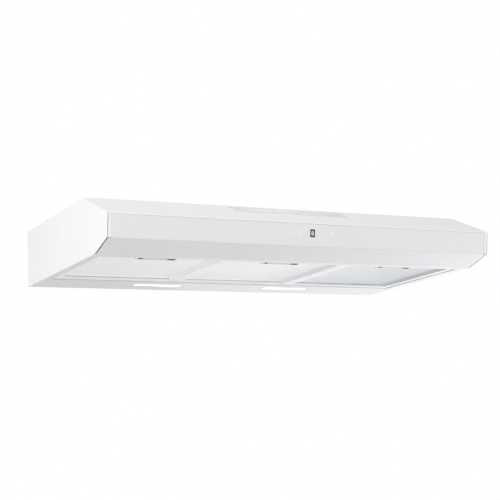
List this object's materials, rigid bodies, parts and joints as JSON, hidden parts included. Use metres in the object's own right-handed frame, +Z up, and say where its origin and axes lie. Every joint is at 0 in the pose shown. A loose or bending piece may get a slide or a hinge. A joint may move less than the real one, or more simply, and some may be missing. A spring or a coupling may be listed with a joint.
{
  "type": "under-cabinet range hood",
  "caption": "Low white under-cabinet range hood with a sloped glass front, drop-down grease filters with sliding latches, long flush lamps, a scroll blower and a flapped duct collar.",
  "frame": {"origin": "centre of the back panel's rear face, which lies against the wall", "axes": "+X along the width, to the right seen from the front; +Y into the wall; +Z up"},
  "size_m": [0.9, 0.496, 0.149],
  "materials": {
    "white_paint": "satin white powder coat",
    "pale_paint": "satin white powder coat, in shade",
    "white_glass": "back-painted glossy white glass",
    "dark_glass": "dark display",
    "zinc_sheet": "zinc-coated sheet",
    "steel": "plated steel",
    "aluminium": "satin anodised",
    "filter_metal": "perforated and expanded aluminium",
    "latch_plastic": "satin light grey",
    "grey_plastic": "satin",
    "black_plastic": "matt",
    "circuit_board": "solder mask",
    "lamp_lens": "frosted diffuser",
    "cable_grey": "soft PVC"
  },
  "bodies": {
    "hood": {"back_panel": "zinc_sheet", "blower_cover": "zinc_sheet", "blower_scroll": "zinc_sheet", "bottom_frame": "pale_paint", "cable_gland": "black_plastic", "capacitor": "black_plastic", "collar_screw_1": "steel", "collar_screw_2": "steel", "collar_screw_3": "steel", "collar_screw_4": "steel", "control_box": "grey_plastic", "control_box_lid": "grey_plastic", "cross_rail_left": "zinc_sheet", "cross_rail_right": "zinc_sheet", "display_lead": "cable_grey", "display_module": "dark_glass", "flap_rod": "steel", "front_canopy": "white_paint", "front_glass": "white_glass", "inlet_grille": "black_plastic", "lamp_lead_left": "cable_grey", "lamp_lead_right": "cable_grey", "led_board_left": "circuit_board", "led_board_right": "circuit_board", "led_housing_left": "grey_plastic", "led_housing_right": "grey_plastic", "led_lens_left": "lamp_lens", "led_lens_right": "lamp_lens", "motor_body": "steel", "motor_lead": "cable_grey", "outlet_box": "zinc_sheet", "outlet_collar": "grey_plastic", "power_board": "circuit_board", "side_panel_left": "white_paint", "side_panel_right": "white_paint", "terminal_block": "grey_plastic", "top_panel": "white_paint", "touch_board": "circuit_board"},
    "blower_wheel": {"impeller_wheel": "black_plastic", "motor_shaft": "steel"},
    "left_flap": {"flap_left": "grey_plastic"},
    "right_flap": {"flap_right": "grey_plastic"},
    "left_filter": {"filter_frame_left": "aluminium", "filter_face_left": "filter_metal", "filter_mesh_left": "filter_metal", "latch_plate_left": "latch_plastic", "latch_spring_left": "steel"},
    "left_catch": {"latch_catch_left": "latch_plastic"},
    "middle_filter": {"filter_frame_middle": "aluminium", "filter_face_middle": "filter_metal", "filter_mesh_middle": "filter_metal", "latch_plate_middle": "latch_plastic", "latch_spring_middle": "steel"},
    "middle_catch": {"latch_catch_middle": "latch_plastic"},
    "right_filter": {"filter_frame_right": "aluminium", "filter_face_right": "filter_metal", "filter_mesh_right": "filter_metal", "latch_plate_right": "latch_plastic", "latch_spring_right": "steel"},
    "right_catch": {"latch_catch_right": "latch_plastic"}
  },
  "joints": [
    {"name": "impeller_spin", "type": "hinge", "parent": "hood", "child": "blower_wheel", "pos_m": [-0.225, -0.19, 0.014], "axis": [0, 0, 1], "continuous": true},
    {"name": "flap_left_swing", "type": "hinge", "parent": "hood", "child": "left_flap", "pos_m": [0, -0.125, 0.054], "axis": [0, 1, 0], "range_deg": [0, 75]},
    {"name": "flap_right_swing", "type": "hinge", "parent": "hood", "child": "right_flap", "pos_m": [0, -0.125, 0.054], "axis": [0, -1, 0], "range_deg": [0, 75]},
    {"name": "filter_left_drop", "type": "hinge", "parent": "hood", "child": "left_filter", "pos_m": [-0.28667, -0.1065, -0.0595], "axis": [1, 0, 0], "range_deg": [0, 60]},
    {"name": "catch_left_slide", "type": "slide", "parent": "left_filter", "child": "left_catch", "axis": [0, 1, 0], "range_m": [0, 0.005], "stiffness_N_per_m": 300, "springref_m": -0.003, "deforming": ["latch_spring_left"]},
    {"name": "filter_middle_drop", "type": "hinge", "parent": "hood", "child": "middle_filter", "pos_m": [0, -0.1065, -0.0595], "axis": [1, 0, 0], "range_deg": [0, 60]},
    {"name": "catch_middle_slide", "type": "slide", "parent": "middle_filter", "child": "middle_catch", "axis": [0, 1, 0], "range_m": [0, 0.005], "stiffness_N_per_m": 300, "springref_m": -0.003, "deforming": ["latch_spring_middle"]},
    {"name": "filter_right_drop", "type": "hinge", "parent": "hood", "child": "right_filter", "pos_m": [0.28667, -0.1065, -0.0595], "axis": [1, 0, 0], "range_deg": [0, 60]},
    {"name": "catch_right_slide", "type": "slide", "parent": "right_filter", "child": "right_catch", "axis": [0, 1, 0], "range_m": [0, 0.005], "stiffness_N_per_m": 300, "springref_m": -0.003, "deforming": ["latch_spring_right"]}
  ]
}
